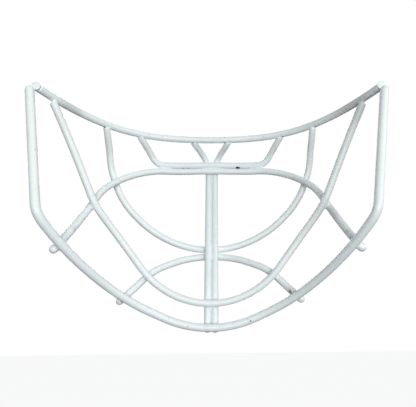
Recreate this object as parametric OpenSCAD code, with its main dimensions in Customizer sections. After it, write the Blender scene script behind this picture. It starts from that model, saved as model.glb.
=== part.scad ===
// Cage for a hockey goalie mask: bent steel wires welded where they cross.
// Z is up, X is to the wearer's left, Y points forward, away from the face.
// The origin is halfway between the two straight side wires of the rim.
// Every wire is drawn as a bent line in the front view, laid on the face shape,
// and moved outward by the wires that lie under it.

/* [Wire] */
// Diameter of the bars and of the top bar
bar_d = 5.5; // [4.8:0.1:6]
// Diameter of the rim wire
rim_d = 6; // [5:0.1:7]
// Gap between two wires where a weld joins them
weld_gap = 0.1; // [0.05:0.01:0.2]
// Radius of a weld bead on a crossing
bead_r = 3.2; // [2.8:0.1:3.6]
// Height of a weld collar over the end of the wire in it
collar_h = 1.5; // [1.2:0.1:1.7]
// Gap between a weld bead and the wires it grips
bead_gap = 0.12; // [0.1:0.01:0.2]
// Length by which the free ends of bars stand past the rim
end_past = 3; // [2:0.5:5]

/* [Face shape] */
// Height of the top bar above the origin
top_z = 47; // [44:1:52]
// Width between the rim wires at the top bar
top_w = 240; // [230:1:252]
// Width between the rim wires at the jaw bends
jaw_w = 208.5; // [200.5:1:216.5]
// Depth from the side wires to the top bar
top_depth = 87.5; // [81:0.5:93]
// Depth at the brow
brow_depth = 99; // [94:0.5:104]
// Depth at the nose
nose_depth = 93.5; // [89:0.5:98]
// Depth at the mouth
mouth_depth = 84.5; // [80.5:0.5:88.5]
// Depth at the chin
chin_depth = 80; // [75.5:0.5:84.5]
// Height of the brow
brow_z = 25; // [22:1:28]
// Height of the nose
nose_z = -20; // [-25:1:-15]
// Height of the mouth
mouth_z = -70; // [-75:1:-65]
// Radius of the front in the top view
front_r = 237; // [205:4:265]

/* [Rim] */
// Height of the jaw bends
jaw_z = -44; // [-47.5:0.5:-40.5]
// Radius of the jaw bends in the front view
jaw_r = 32; // [27:1:37]
// Width between the cheek bends
cheek_bend_w = 160; // [155:1:165]
// Height of the cheek bends
cheek_bend_z = -84; // [-87:0.5:-82]
// Share of the wire from the jaw bends to the cheek bends that curves with the cheek bends
cheek_bend_share = 0.835; // [0.6:0.005:0.85]
// Height of the rim's lowest point
rim_bottom_z = -111.5; // [-115:0.5:-109]
// Radius of the rim under the chin
rim_bottom_r = 86.5; // [80.5:1:92.5]
// Distance of the rim's butt joint from the middle
rim_joint_x = -3.5; // [-6:0.5:-2]
// Distance sideways from the top bar's ends to the side wires' middle
corner_inset = 1.5; // [0:0.5:2]
// Distance from those ends back to the side wires' middle
corner_front = 1.5; // [0:0.5:2]
// Height of the upper end of the seats for the mask's clips
clip_top_z = 16; // [10:1:18]
// Length of those seats along the side wires
clip_len = 40; // [30:1:46]

/* [Outer U bar] */
// Distance from its ends to the rim along the top bar, sideways
outer_top_inset = 7.75; // [6.25:0.5:10.25]
// Width between its bends
outer_bend_w = 170; // [165:1:174]
// Height of its bends
outer_bend_z = -24; // [-28:1:-20]
// Radius of its bends
outer_bend_r = 71; // [54:1:80]
// Height of its lowest point
outer_bottom_z = -93.5; // [-95.5:0.5:-91]
// Radius of its lower end
outer_bottom_r = 66.5; // [60.5:1:72.5]

/* [Inner U bar] */
// Width between its ends at the top bar
inner_top_w = 168.5; // [164.5:1:173.5]
// Width between its bends
inner_bend_w = 165.5; // [161.5:1:169.5]
// Height of its bends
inner_bend_z = 38; // [34:1:41]
// Share of the wire above its bends that curves with them
inner_bend_share = 0.56; // [0.4:0.01:0.8]
// Height of its lowest point
inner_bottom_z = -45.75; // [-47.25:0.5:-42.75]
// Radius of its lower end
inner_bottom_r = 75.5; // [70.5:1:80.5]

/* [Cheek arch bar] */
// Height of its crown
arch_z = 24; // [22:0.5:27]
// Height by which its shoulders lie lower
arch_fall = 3.5; // [2:0.5:5]
// Width between its shoulders
arch_w = 149; // [144.5:0.5:153.5]
// Radius of its shoulders
arch_r = 45.5; // [39:0.5:50]
// Radius of its crown
crown_r = 300; // [200:10:400]
// Width across its lower ends at the height below
arch_foot_w = 186.5; // [182.5:1:190.5]
// Height at which that width is taken
arch_foot_z = -57; // [-60:1:-54]

/* [Brow bar] */
// Width between its bends
brow_w = 93; // [88:1:98]
// Radius of its bends
brow_bend_r = 10; // [8:0.5:11.5]
// Width between its ends at the top bar
brow_top_w = 122.5; // [116.5:1:126.5]

/* [Chin arch bar] */
// Height of its crown
chin_arch_z = -52; // [-53.5:0.5:-51]
// Radius of its crown
chin_crown_r = 60; // [55:1:66]
// Width between its shoulders
chin_arch_w = 88; // [84:1:92]
// Height of its shoulders
chin_bend_z = -67; // [-70:0.5:-65]
// Radius of its shoulders
chin_bend_r = 40; // [32:1:42]
// Width across its lower ends at the height below
chin_foot_w = 121.5; // [117:0.5:126]
// Height at which that width is taken
chin_foot_z = -89; // [-91.5:0.5:-86.5]

/* [Centre bars] */
// Distance of the chin arch and the centre bars from the middle
centre_shift = 0.5; // [-3:0.5:3]
// Width between the struts at the top bar
strut_top_w = 33.5; // [27.5:1:39.5]
// Radius of the bends where the struts spread
strut_bend_r = 13; // [9:1:17]
// Height of those bends above the cheek arch
strut_rise = 4; // [2.5:0.5:5.5]

/* [Hidden] */
$fn = 48;

coat = [0.93, 0.95, 0.96];
weld_coat = [0.9, 0.92, 0.93];

bar_r = bar_d / 2;
rim_r = rim_d / 2;
sides = 14;        // facets round a bent wire
ring_step = 6.5;   // distance between its rings
fine_step = 4;     // the same on tight bends
draft_step = 2;    // distance between points of an outline

// Heights of a wire's centre line over the rim's centre line, by layer
pitch = bar_d + weld_gap;
layer_flush = (rim_d - bar_d) / 2;
layer_1 = rim_r + bar_r + weld_gap;
layer_2 = layer_1 + pitch;

function unit(v) = v / norm(v);
function flip(p) = [-p[0], p[1]];
function flip3(p) = [-p[0], p[1], p[2]];
function reversed(a) = [for (i = [len(a) - 1 : -1 : 0]) a[i]];
function ease(t) = let (u = min(1, max(0, t))) u * u * (3 - 2 * u);

// Face shape

profile = [
    [rim_bottom_z, chin_depth],
    [mouth_z, mouth_depth],
    [nose_z, nose_depth],
    [brow_z, brow_depth],
    [top_z, top_depth]
];
last_knot = len(profile) - 1;
function rise(a, b) = (b[1] - a[1]) / (b[0] - a[0]);
slopes = [
    for (i = [0 : last_knot])
        rise(profile[max(0, i - 1)], profile[min(last_knot, i + 1)])
];
function knot_below(z, i = 0) =
    i >= last_knot - 1 || z < profile[i + 1][0] ? i : knot_below(z, i + 1);
function middle_y(z) =
    let (
        i = knot_below(z),
        h = profile[i + 1][0] - profile[i][0],
        t = (z - profile[i][0]) / h,
        t2 = t * t,
        t3 = t2 * t
    )
    (2 * t3 - 3 * t2 + 1) * profile[i][1] + (t3 - 2 * t2 + t) * h * slopes[i]
    + (3 * t2 - 2 * t3) * profile[i + 1][1] + (t3 - t2) * h * slopes[i + 1];
function half_w(z) = (top_w + (jaw_w - top_w) * (top_z - z) / (top_z - jaw_z)) / 2;
function shape_y(x, z) =
    let (w = half_w(z), p = middle_y(z))
    p - x * x / (2 * front_r) - (p - w * w / (2 * front_r)) * pow(x / w, 4);
function outward(x, z) =
    let (
        e = 0.5,
        dx = (shape_y(x + e, z) - shape_y(x - e, z)) / (2 * e),
        dz = (shape_y(x, z + e) - shape_y(x, z - e)) / (2 * e)
    )
    unit([-dx, 1, -dz]);
function lifted(p, h) = [p[0], shape_y(p[0], p[1]), p[1]] + h * outward(p[0], p[1]);

// Bent lines in the front view, from vertices [x, z, bend radius]

function bend(a, p, b, r) =
    let (
        u = unit(p - a),
        v = unit(b - p),
        turn = acos(min(1, max(-1, u * v)))
    )
    turn < 0.2 ? [p] :
    let (
        s = p - u * r * tan(turn / 2),
        c = p + unit(v - u) * r / cos(turn / 2),
        n = max(3, ceil(turn * PI * r / 180 / draft_step))
    )
    [for (i = [0 : n]) c + (s - c) * cos(turn * i / n) + u * r * sin(turn * i / n)];
function flat(v) = [v[0], v[1]];
function corners(v) = [
    flat(v[0]),
    for (i = [1 : 1 : len(v) - 2]) each bend(flat(v[i - 1]), flat(v[i]), flat(v[i + 1]), v[i][2]),
    flat(v[len(v) - 1])
];
function split(p) = [
    for (i = [0 : len(p) - 2])
        let (n = max(1, ceil(norm(p[i + 1] - p[i]) / draft_step)))
        for (k = [0 : n - 1]) p[i] + (p[i + 1] - p[i]) * k / n,
    p[len(p) - 1]
];
function outline(v) = split(corners(v));
// Radius of a bend at p that starts at a share of the way from p back to a
function shared_radius(a, p, b, share) =
    share * norm(p - a) / tan(acos(unit(p - a) * unit(b - p)) / 2);
function both_sides(v) = concat(v, [for (i = [len(v) - 2 : -1 : 0]) [-v[i][0], v[i][1], v[i][2]]]);
function moved(p, dx) = [for (q = p) [q[0] + dx, q[1]]];

// Height at which the tangent from k to the circle of radius r about [0, z] meets the middle
function apex(k, z, r, side) =
    let (
        d = [-k[0], z - k[1]],
        a = atan2(d[1], d[0]) + side * asin(r / norm(d))
    )
    k[1] - k[0] * tan(a);

// Crossings of two outlines in the front view

function crossing(a, b, c, d) =
    let (u = b - a, v = d - c, k = u[0] * v[1] - u[1] * v[0])
    abs(k) < 1e-9 ? undef :
    let (
        w = c - a,
        s = (w[0] * v[1] - w[1] * v[0]) / k,
        t = (w[0] * u[1] - w[1] * u[0]) / k
    )
    s < 0 || s >= 1 || t < 0 || t >= 1 ? undef : a + u * s;
function meets(p, q) = [
    for (i = [0 : len(p) - 2])
        for (j = [0 : len(q) - 2])
            let (h = crossing(p[i], p[i + 1], q[j], q[j + 1]))
            if (h != undef) h
];
function coarse(p) = [for (i = [0 : 3 : len(p) - 2]) p[i], p[len(p) - 1]];
function meet(p, q) = meets(coarse(p), coarse(q))[0];

// Paths in space

function lengths(p) = [
    for (i = 0, s = 0; i < len(p); s = s + (i + 1 < len(p) ? norm(p[i + 1] - p[i]) : 0), i = i + 1) s
];
function even(p, step, cut_a = 0, cut_b = 0) =
    let (
        s = lengths(p),
        all = s[len(s) - 1] - cut_a - cut_b,
        n = ceil(all / step),
        tables = [for (k = [0 : 2]) [for (i = [0 : len(p) - 1]) [s[i], p[i][k]]]]
    )
    [for (i = [0 : n]) [for (k = [0 : 2]) lookup(cut_a + all * i / n, tables[k])]];

// Length cut off a bar that butts against the top bar
function butt_cut(p) =
    let (
        end = p[0],
        dir = unit(end - p[2]),
        e = 0.5,
        axis = unit(lifted([end[0] + e, top_z], layer_flush) - lifted([end[0] - e, top_z], layer_flush)),
        tilt = asin(abs(dir * axis))
    )
    (bar_r + 2 * weld_gap + bar_r * sin(tilt)) / cos(tilt);

// Tubes: rings of points along a path

head_centre = [0, 0, nose_z];
function tangent(p, i) = unit(p[min(len(p) - 1, i + 1)] - p[max(0, i - 1)]);
function ring(c, dir, r) =
    let (a = unit(cross(dir, c - head_centre)), b = cross(dir, a))
    [for (k = [0 : sides - 1]) c + r * (a * cos(360 * k / sides) + b * sin(360 * k / sides))];

// A round end is three smaller rings
dome = [[0, 0.55], [0.2, 0.82], [0.55, 0.97]];
function stations(p, r, dome_a, dome_b) =
    let (n = len(p) - 1, da = tangent(p, 0), db = tangent(p, n))
    concat(
        dome_a ? [for (q = dome) [p[0] + da * q[0] * r, da, q[1] * r]] : [[p[0], da, r]],
        [for (i = [1 : n - 1]) [p[i], tangent(p, i), r]],
        dome_b ? [for (q = reversed(dome)) [p[n] - db * q[0] * r, db, q[1] * r]] : [[p[n], db, r]]
    );

module wire(p, r, dome_a = false, dome_b = false) {
    st = stations(p, r, dome_a, dome_b);
    n = len(st);
    points = [for (s = st) each ring(s[0], s[1], s[2])];
    quads = [
        for (i = [0 : n - 2])
            for (k = [0 : sides - 1])
                let (
                    a = i * sides + k,
                    b = i * sides + (k + 1) % sides
                )
                each [[a, b + sides, b], [a, a + sides, b + sides]]
    ];
    first = [for (k = [0 : sides - 1]) k];
    last = [for (k = [sides - 1 : -1 : 0]) (n - 1) * sides + k];
    polyhedron(points, concat([first], quads, [last]), convexity = 8);
}

module rod(a, b, r) {
    d = b - a;
    translate(a)
        rotate([0, acos(d[2] / norm(d)), atan2(d[1], d[0])])
            cylinder(h = norm(d), r = r);
}

// Rim: straight side wires with the clip seats, jaw bends, cheek bends and the round under the chin

cheek_bend = [cheek_bend_w / 2, cheek_bend_z];
rim_apex = apex(cheek_bend, rim_bottom_z + rim_bottom_r, rim_bottom_r, 1);
jaw_bend = [half_w(jaw_z), jaw_z];
rim_half = [
    [half_w(top_z), top_z, 0],
    concat(jaw_bend, [jaw_r]),
    concat(cheek_bend, [shared_radius(jaw_bend, cheek_bend, [0, rim_apex], cheek_bend_share)]),
    [0, rim_apex, rim_bottom_r]
];
rim_line = outline(both_sides(rim_half));
rim_draft = [for (q = rim_line) lifted(q, 0)];
side_dir = unit([jaw_bend[0] - half_w(top_z), 0, jaw_z - top_z]);
side_cut = bar_r + 3 * weld_gap - side_dir[0] * corner_inset;
side_start = [half_w(top_z), 0, top_z] + side_dir * side_cut;
clip_start = [half_w(clip_top_z), 0, clip_top_z];
clip_end = clip_start + side_dir * clip_len;
inside = side_dir * draft_step;
rim_low = concat(
    [clip_end - inside],
    [for (q = rim_draft) if (q[2] < clip_end[2] - draft_step / 2) q],
    [flip3(clip_end - inside)]
);
rim_s = lengths(rim_low);
rim_mid = [for (i = [1 : len(rim_low) - 1])
    if (rim_low[i - 1][0] >= rim_joint_x && rim_low[i][0] < rim_joint_x) i][0];
rim_cut_s = rim_s[rim_mid - 1] + (rim_low[rim_mid - 1][0] - rim_joint_x)
    * (rim_s[rim_mid] - rim_s[rim_mid - 1]) / (rim_low[rim_mid - 1][0] - rim_low[rim_mid][0]);
rim_all = rim_s[len(rim_s) - 1];
rim_path_a = even(rim_low, fine_step, 0, rim_all - rim_cut_s + weld_gap / 2);
rim_path_b = even(rim_low, fine_step, rim_cut_s + weld_gap / 2, 0);

module rim_piece(path, mirrored) {
    start = mirrored ? flip3(side_start) : side_start;
    a = mirrored ? flip3(clip_start) : clip_start;
    b = mirrored ? flip3(clip_end) : clip_end;
    above = a + (mirrored ? flip3(inside) : inside);
    union() {
        wire([start, (start + above) / 2, above], rim_r - 0.01);
        rod(a, b, rim_r);
        wire(path, rim_r - 0.01);
    }
}

// Top bar: along the face shape, its ends turned straight back onto the ends of the side wires

top_x = top_w / 2 - corner_inset;
top_line = [for (i = [0 : 80]) [top_x * sin(90 * (i / 40 - 1)), top_z]];
top_mid = [for (q = top_line) lifted(q, layer_flush * (1 - pow(q[0] / top_x, 8)))];
top_end = [top_x, corner_front, top_z];
top_path = concat([flip3(top_end)], even(top_mid, ring_step), [top_end]);
top_draft = concat([flip3(top_end)], top_mid, [top_end]);

// Outer U bar: flush with the inside of the rim

outer_bend = [outer_bend_w / 2, outer_bend_z];
outer_line = outline(both_sides([
    [top_w / 2 - outer_top_inset, top_z, 0],
    [outer_bend[0], outer_bend[1], outer_bend_r],
    [0, apex(outer_bend, outer_bottom_z + outer_bottom_r, outer_bottom_r, 1), outer_bottom_r]
]));
outer_draft = [for (q = outer_line) lifted(q, layer_flush)];
outer_path = even(outer_draft, ring_step, butt_cut(outer_draft), butt_cut(outer_draft));

// Cheek arch bar: over the outer U bar and the rim

arch_shoulder = [arch_w / 2, arch_z - arch_fall];
arch_foot = [arch_foot_w / 2, arch_foot_z];
arch_dir = unit(arch_foot - arch_shoulder);
arch_far = arch_foot + arch_dir * 30;
rim_flat = [for (q = rim_line) if (q[0] > 0) q];
arch_rim = meet([arch_shoulder, arch_far], rim_flat);
arch_end = arch_rim + arch_dir * end_past;
arch_rise = crown_r * (1 / cos(atan(arch_fall / arch_shoulder[0])) - 1);
arch_line = outline(both_sides([
    [arch_end[0], arch_end[1], 0],
    [arch_shoulder[0], arch_shoulder[1], arch_r],
    [0, arch_z + arch_rise, crown_r]
]));
arch_draft = [for (q = arch_line) lifted(q, layer_1)];
arch_path = even(arch_draft, ring_step);

// Brow bar: side by side with the cheek arch, its ends turned up to the top bar

function beside(x, z, gap, lo, hi, n = 24) =
    let (m = (lo + hi) / 2)
    n == 0 ? m :
    norm(lifted([x, m], layer_1) - lifted([x, z], layer_1)) < gap
        ? beside(x, z, gap, m, hi, n - 1)
        : beside(x, z, gap, lo, m, n - 1);
function arch_at(x) = arch_z - arch_fall * x / arch_shoulder[0] * 0.85;
brow_mid_z = beside(0, arch_z, pitch, arch_z, arch_z + 2 * pitch);
brow_bend_z = beside(brow_w / 2, arch_at(brow_w / 2), pitch, arch_z - arch_fall, arch_z + 2 * pitch);
brow_rise = crown_r * (1 / cos(atan((brow_mid_z - brow_bend_z) * 2 / brow_w)) - 1);
brow_line = outline(both_sides([
    [brow_top_w / 2, top_z, 0],
    [brow_w / 2, brow_bend_z, brow_bend_r],
    [0, brow_mid_z + brow_rise, crown_r]
]));
function brow_layer(z) =
    let (low = brow_mid_z + bar_r / 2)
    layer_flush + (layer_1 - layer_flush) * (1 - ease((z - low) / (top_z - low)));
brow_draft = [for (q = brow_line) lifted(q, brow_layer(q[1]))];
brow_path = even(brow_draft, fine_step, butt_cut(brow_draft), butt_cut(brow_draft));

// Centre bars: over the brow bar and the cheek arch, and over the outer U bar and the rim

strut_bend_z = arch_z + strut_rise;
function centre_layer(z) =
    let (low = brow_mid_z + bar_r, full = low - 2 * bar_d)
    z > low
        ? layer_flush + (layer_2 - layer_flush) * (1 - ease((z - low) / (top_z - low)))
        : layer_1 + (layer_2 - layer_1) * ease((z - outer_bottom_z) / (full - outer_bottom_z));
function centre_line(side) = reversed(outline([
    [centre_shift + side * pitch / 2, rim_bottom_z - end_past, 0],
    [centre_shift + side * pitch / 2, strut_bend_z, strut_bend_r],
    [side * strut_top_w / 2, top_z, 0]
]));
left_line = centre_line(1);
right_line = centre_line(-1);
left_draft = [for (q = left_line) lifted(q, centre_layer(q[1]))];
right_draft = [for (q = right_line) lifted(q, centre_layer(q[1]))];
left_path = even(left_draft, fine_step, butt_cut(left_draft), 0);
right_path = even(right_draft, fine_step, butt_cut(right_draft), 0);

// Inner U bar: over the cheek arch and, in the middle, over the centre bars

inner_top = [inner_top_w / 2, top_z];
inner_bend = [inner_bend_w / 2, inner_bend_z];
inner_apex = [0, apex(inner_bend, inner_bottom_z + inner_bottom_r, inner_bottom_r, 1)];
inner_line = outline(both_sides([
    concat(inner_top, [0]),
    concat(inner_bend, [shared_radius(inner_top, inner_bend, inner_apex, inner_bend_share)]),
    concat(inner_apex, [inner_bottom_r])
]));
arch_inner = meet(arch_line, inner_line);
function inner_layer(q) =
    let (
        low = arch_inner[1] + bar_d,
        over = centre_layer(inner_bottom_z) + pitch
    )
    q[1] > low
        ? layer_flush + (layer_2 - layer_flush) * (1 - ease((q[1] - low) / (top_z - low)))
        : layer_2 + (over - layer_2) * ease((12 * bar_d - abs(q[0])) / (10 * bar_d));
inner_draft = [for (q = inner_line) lifted(q, inner_layer(q))];
inner_path = even(inner_draft, ring_step, butt_cut(inner_draft), butt_cut(inner_draft));

// Chin arch bar: over the outer U bar, the rim and the centre bars

chin_bend = [chin_arch_w / 2, chin_bend_z];
chin_foot = [chin_foot_w / 2, chin_foot_z];
chin_dir = unit(chin_foot - chin_bend);
chin_far = chin_foot + chin_dir * 30;
function chin_rim(side) =
    let (dx = [side * centre_shift, 0])
    meet([chin_bend + dx, chin_far + dx], rim_flat);
function chin_end(side) = chin_rim(side) + chin_dir * end_past - [side * centre_shift, 0];
chin_line = moved(outline([
    concat(chin_end(1), [0]),
    [chin_bend[0], chin_bend[1], chin_bend_r],
    [0, apex(chin_bend, chin_arch_z - chin_crown_r, chin_crown_r, -1), chin_crown_r],
    [-chin_bend[0], chin_bend[1], chin_bend_r],
    concat(flip(chin_end(-1)), [0])
]), centre_shift);
function chin_layer(q) =
    layer_1 + (centre_layer(chin_arch_z) + pitch - layer_1)
        * ease((7.5 * bar_d - abs(q[0] - centre_shift)) / (6.5 * bar_d));
chin_draft = [for (q = chin_line) lifted(q, chin_layer(q))];
chin_path = even(chin_draft, ring_step);

// Weld beads: balls at the crossings, cut out for the wires they grip

collar_r = bar_r + collar_h;
corner_bead_r = rim_r + collar_h;
seam_bead_r = bar_r * 0.8;

function nearest(p, q, i = 1, best = 0) =
    i >= len(p) ? best : nearest(p, q, i + 1, norm(p[i] - q) < norm(p[best] - q) ? i : best);
function foot(p, q) =
    let (
        i = max(1, min(len(p) - 2, nearest(p, q))),
        u = unit(p[i + 1] - p[i - 1])
    )
    [p[i] + u * ((q - p[i]) * u), u];

// Ball between wire a of radius ra and wire b that crosses it, as [place, radius, axis]
function between(a, ra, b, q) =
    let (pa = foot(a, q)[0], dir = unit(foot(b, q)[0] - pa))
    [pa + dir * (ra + weld_gap / 2), bead_r, dir];
function over_rim(p) = lifted(p, rim_r);

// Room for a bent wire, along the stretch of its own rings that runs through a bead
reach = 4 * bead_r;
module bent_room(p, place, r) {
    wire([for (q = p) if (norm(q - place) < reach) q], r);
}

// Balls are [place, radius, axis] and wires are [path, place, radius, bent or not]
module bead(balls, wires) {
    color(weld_coat)
        difference() {
            union() {
                for (b = balls)
                    translate(b[0])
                        rotate([0, acos(b[2][2]), atan2(b[2][1], b[2][0])])
                            sphere(r = b[1]);
            }
            for (w = wires) {
                f = foot(w[0], w[1]);
                if (w[3]) bent_room(w[0], w[1], w[2] + bead_gap);
                else rod(f[0] - f[1] * reach, f[0] + f[1] * reach, w[2] + bead_gap);
            }
        }
}

module mirrored_pair() {
    children();
    mirror([1, 0, 0]) children();
}

// Bead on the crossing q of two wires
module cross_bead(a, ra, b, q) {
    bead([between(a, ra, b, q)], [[a, q, ra], [b, q, bar_r]]);
}

// Collar round the end of a wire that stops at length cut before the top bar's middle
module butt_bead(p, r, ball_r, cut) {
    dir = unit(p[0] - p[2]);
    place = p[0] - dir * (cut - collar_h);
    bead([[place, ball_r, dir]], [[p, place, r], [top_draft, p[0], bar_r]]);
}

// Centre bars over another wire
function centre_places(line, h) = [for (c = [left_line, right_line]) let (m = meet(c, line)) lifted(m, h)];
function centre_balls(draft, r, places) = [
    between(draft, r, left_draft, places[0]),
    between(draft, r, right_draft, places[1])
];
function centre_wires(places) = [[left_draft, places[0], bar_r], [right_draft, places[1], bar_r]];
function crossed_wires(draft, r, places) = [for (p = places) [draft, p, r]];

rim_places = centre_places(rim_line, layer_1 / 2);
outer_places = centre_places(outer_line, layer_1 / 2);
inner_places = centre_places(inner_line, centre_layer(inner_bottom_z) + bar_r);
chin_places = centre_places(chin_line, centre_layer(chin_arch_z) + bar_r);
arch_places = centre_places(arch_line, layer_1 + bar_r);
brow_places = centre_places(brow_line, layer_1 + bar_r);

module top_bar() {
    color(coat) wire(top_path, bar_r);
}

module rim_left() {
    color(coat) rim_piece(rim_path_a, false);
}

module rim_right() {
    color(coat) rim_piece(rim_path_b, true);
}

module outer_u_bar() {
    color(coat) wire(outer_path, bar_r);
}

module inner_u_bar() {
    color(coat) wire(inner_path, bar_r);
}

module cheek_arch_bar() {
    color(coat) wire(arch_path, bar_r, true, true);
}

module chin_arch_bar() {
    color(coat) wire(chin_path, bar_r, true, true);
}

module brow_bar() {
    color(coat) wire(brow_path, bar_r);
}

module centre_bar_left() {
    color(coat) wire(left_path, bar_r, false, true);
}

module centre_bar_right() {
    color(coat) wire(right_path, bar_r, false, true);
}

module corner_welds() {
    mirrored_pair() butt_bead(rim_draft, rim_r, corner_bead_r, side_cut);
}

module outer_u_top_welds() {
    mirrored_pair() butt_bead(outer_draft, bar_r, collar_r, butt_cut(outer_draft));
}

module inner_u_top_welds() {
    mirrored_pair() butt_bead(inner_draft, bar_r, collar_r, butt_cut(inner_draft));
}

module brow_top_welds() {
    mirrored_pair() butt_bead(brow_draft, bar_r, collar_r, butt_cut(brow_draft));
}

module strut_top_welds() {
    mirrored_pair() butt_bead(left_draft, bar_r, collar_r, butt_cut(left_draft));
}

module brow_seam_welds() {
    x = brow_w / 2 - bar_d;
    a = foot(arch_draft, lifted([x, arch_at(x)], layer_1))[0];
    b = foot(brow_draft, a)[0];
    place = (a + b) / 2;
    mirrored_pair()
        bead(
            [[place + outward(x, arch_z) * seam_bead_r, seam_bead_r, [0, 0, 1]]],
            [[arch_draft, place, bar_r], [brow_draft, place, bar_r]]
        );
}

module centre_brow_weld() {
    bead(
        concat(
            centre_balls(arch_draft, bar_r, arch_places),
            centre_balls(brow_draft, bar_r, brow_places)
        ),
        concat(
            [[left_path, brow_places[0], bar_r, true], [right_path, brow_places[1], bar_r, true]],
            crossed_wires(arch_draft, bar_r, arch_places),
            crossed_wires(brow_draft, bar_r, brow_places)
        )
    );
}

module centre_nose_weld() {
    bead(
        concat(
            centre_balls(inner_draft, bar_r, inner_places),
            centre_balls(chin_draft, bar_r, chin_places)
        ),
        concat(
            centre_wires(inner_places),
            [[inner_draft, inner_places[0], bar_r], [chin_draft, chin_places[0], bar_r]]
        )
    );
}

module centre_outer_u_weld() {
    bead(
        centre_balls(outer_draft, bar_r, outer_places),
        concat(centre_wires(outer_places), [[outer_draft, outer_places[0], bar_r]])
    );
}

module centre_rim_weld() {
    small = min(bead_r, bar_r);
    balls = centre_balls(rim_draft, rim_r, rim_places);
    for (i = [0, 1])
        bead(
            [[balls[i][0], small, balls[i][2]]],
            [centre_wires(rim_places)[i], [rim_draft, rim_places[i], rim_r]]
        );
}

module arch_outer_u_welds() {
    q = lifted(meet(arch_line, outer_line), layer_1 / 2);
    mirrored_pair() cross_bead(outer_draft, bar_r, arch_draft, q);
}

module arch_inner_u_welds() {
    q = lifted(arch_inner, layer_1 + bar_r);
    mirrored_pair() cross_bead(arch_draft, bar_r, inner_draft, q);
}

module arch_rim_welds() {
    mirrored_pair() cross_bead(rim_draft, rim_r, arch_draft, over_rim(arch_rim));
}

module chin_outer_u_welds() {
    for (line = [chin_line, reversed(chin_line)])
        cross_bead(outer_draft, bar_r, chin_draft, lifted(meet(line, outer_line), layer_1 / 2));
}

module chin_rim_welds() {
    cross_bead(rim_draft, rim_r, chin_draft, over_rim(chin_rim(1)));
    cross_bead(rim_draft, rim_r, chin_draft, over_rim(flip(chin_rim(-1))));
}

top_bar();
rim_left();
rim_right();
outer_u_bar();
inner_u_bar();
cheek_arch_bar();
chin_arch_bar();
brow_bar();
centre_bar_left();
centre_bar_right();
corner_welds();
outer_u_top_welds();
inner_u_top_welds();
brow_top_welds();
strut_top_welds();
brow_seam_welds();
centre_brow_weld();
centre_nose_weld();
centre_outer_u_weld();
centre_rim_weld();
arch_outer_u_welds();
arch_inner_u_welds();
arch_rim_welds();
chin_outer_u_welds();
chin_rim_welds();
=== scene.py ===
"""Hockey goalie cage: its bent wires, welds, white coat and wear, with the floor, light and camera.

Lengths are in millimetres until a mesh is made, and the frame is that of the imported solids.
"""

import math

import bpy
import numpy as np
from mathutils import Matrix, Vector


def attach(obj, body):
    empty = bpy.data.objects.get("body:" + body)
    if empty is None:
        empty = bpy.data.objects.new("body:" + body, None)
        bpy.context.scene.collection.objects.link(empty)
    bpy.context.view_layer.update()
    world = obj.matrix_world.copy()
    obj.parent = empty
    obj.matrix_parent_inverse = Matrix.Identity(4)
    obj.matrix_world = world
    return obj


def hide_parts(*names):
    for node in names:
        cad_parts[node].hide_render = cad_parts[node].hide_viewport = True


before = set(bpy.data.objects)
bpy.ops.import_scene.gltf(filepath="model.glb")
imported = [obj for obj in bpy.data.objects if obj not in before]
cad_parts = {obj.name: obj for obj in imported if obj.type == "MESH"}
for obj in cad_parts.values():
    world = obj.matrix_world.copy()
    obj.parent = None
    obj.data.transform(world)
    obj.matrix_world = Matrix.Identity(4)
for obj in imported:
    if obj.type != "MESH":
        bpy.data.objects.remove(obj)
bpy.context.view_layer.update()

MM = 0.001

# Sizes, as in the solids.
BAR_D, RIM_D, WELD_GAP, END_PAST = 5.5, 6.0, 0.1, 3.0
TOP_Z, TOP_W, JAW_W = 47.0, 240.0, 208.5
PROFILE_Z = np.array([-111.5, -70.0, -20.0, 25.0, TOP_Z])
PROFILE_Y = np.array([80.0, 84.5, 93.5, 99.0, 87.5])
FRONT_R = 237.0
JAW_Z, JAW_R = -44.0, 32.0
CHEEK_BEND, CHEEK_SHARE = np.array([80.0, -84.0]), 0.835
RIM_BOTTOM_Z, RIM_BOTTOM_R, RIM_JOINT_X = -111.5, 86.5, -3.5
CORNER_INSET, CORNER_FRONT = 1.5, 1.5
OUTER_INSET, OUTER_BEND, OUTER_BEND_R = 7.75, np.array([85.0, -24.0]), 71.0
OUTER_BOTTOM_Z, OUTER_BOTTOM_R = -93.5, 66.5
INNER_TOP, INNER_BEND, INNER_SHARE = np.array([84.25, TOP_Z]), np.array([82.75, 38.0]), 0.56
INNER_BOTTOM_Z, INNER_BOTTOM_R = -45.75, 75.5
ARCH_Z, ARCH_FALL, ARCH_X, ARCH_R, CROWN_R = 24.0, 3.5, 74.5, 45.5, 300.0
ARCH_FOOT, CROWN_SAG = np.array([93.25, -57.0]), 0.85
BROW_X, BROW_BEND_R, BROW_TOP_X = 46.5, 10.0, 61.25
CHIN_Z, CHIN_CROWN_R = -52.0, 60.0
CHIN_BEND, CHIN_BEND_R = np.array([44.0, -67.0]), 40.0
CHIN_FOOT = np.array([60.75, -89.0])
CENTRE_SHIFT, STRUT_TOP_X, STRUT_BEND_R, STRUT_RISE = 0.5, 16.75, 13.0, 4.0
INNER_CLIMB, CHIN_CLIMB = (12, 10), (7.5, 6.5)   # start and length of a climb to the middle, in bar widths

# Sizes of the looks alone.
TOP_CUT, TOP_TURN = (4.3, 1.7), 1.7   # the top bar's ends, right and left as worn, and their last turn
COPED, LAPPED = 2.3, 4.4              # distance from the top bar's line to the ends of the bars under it
SUNK = 0.4                            # how far such an end runs on inside its weld

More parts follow.
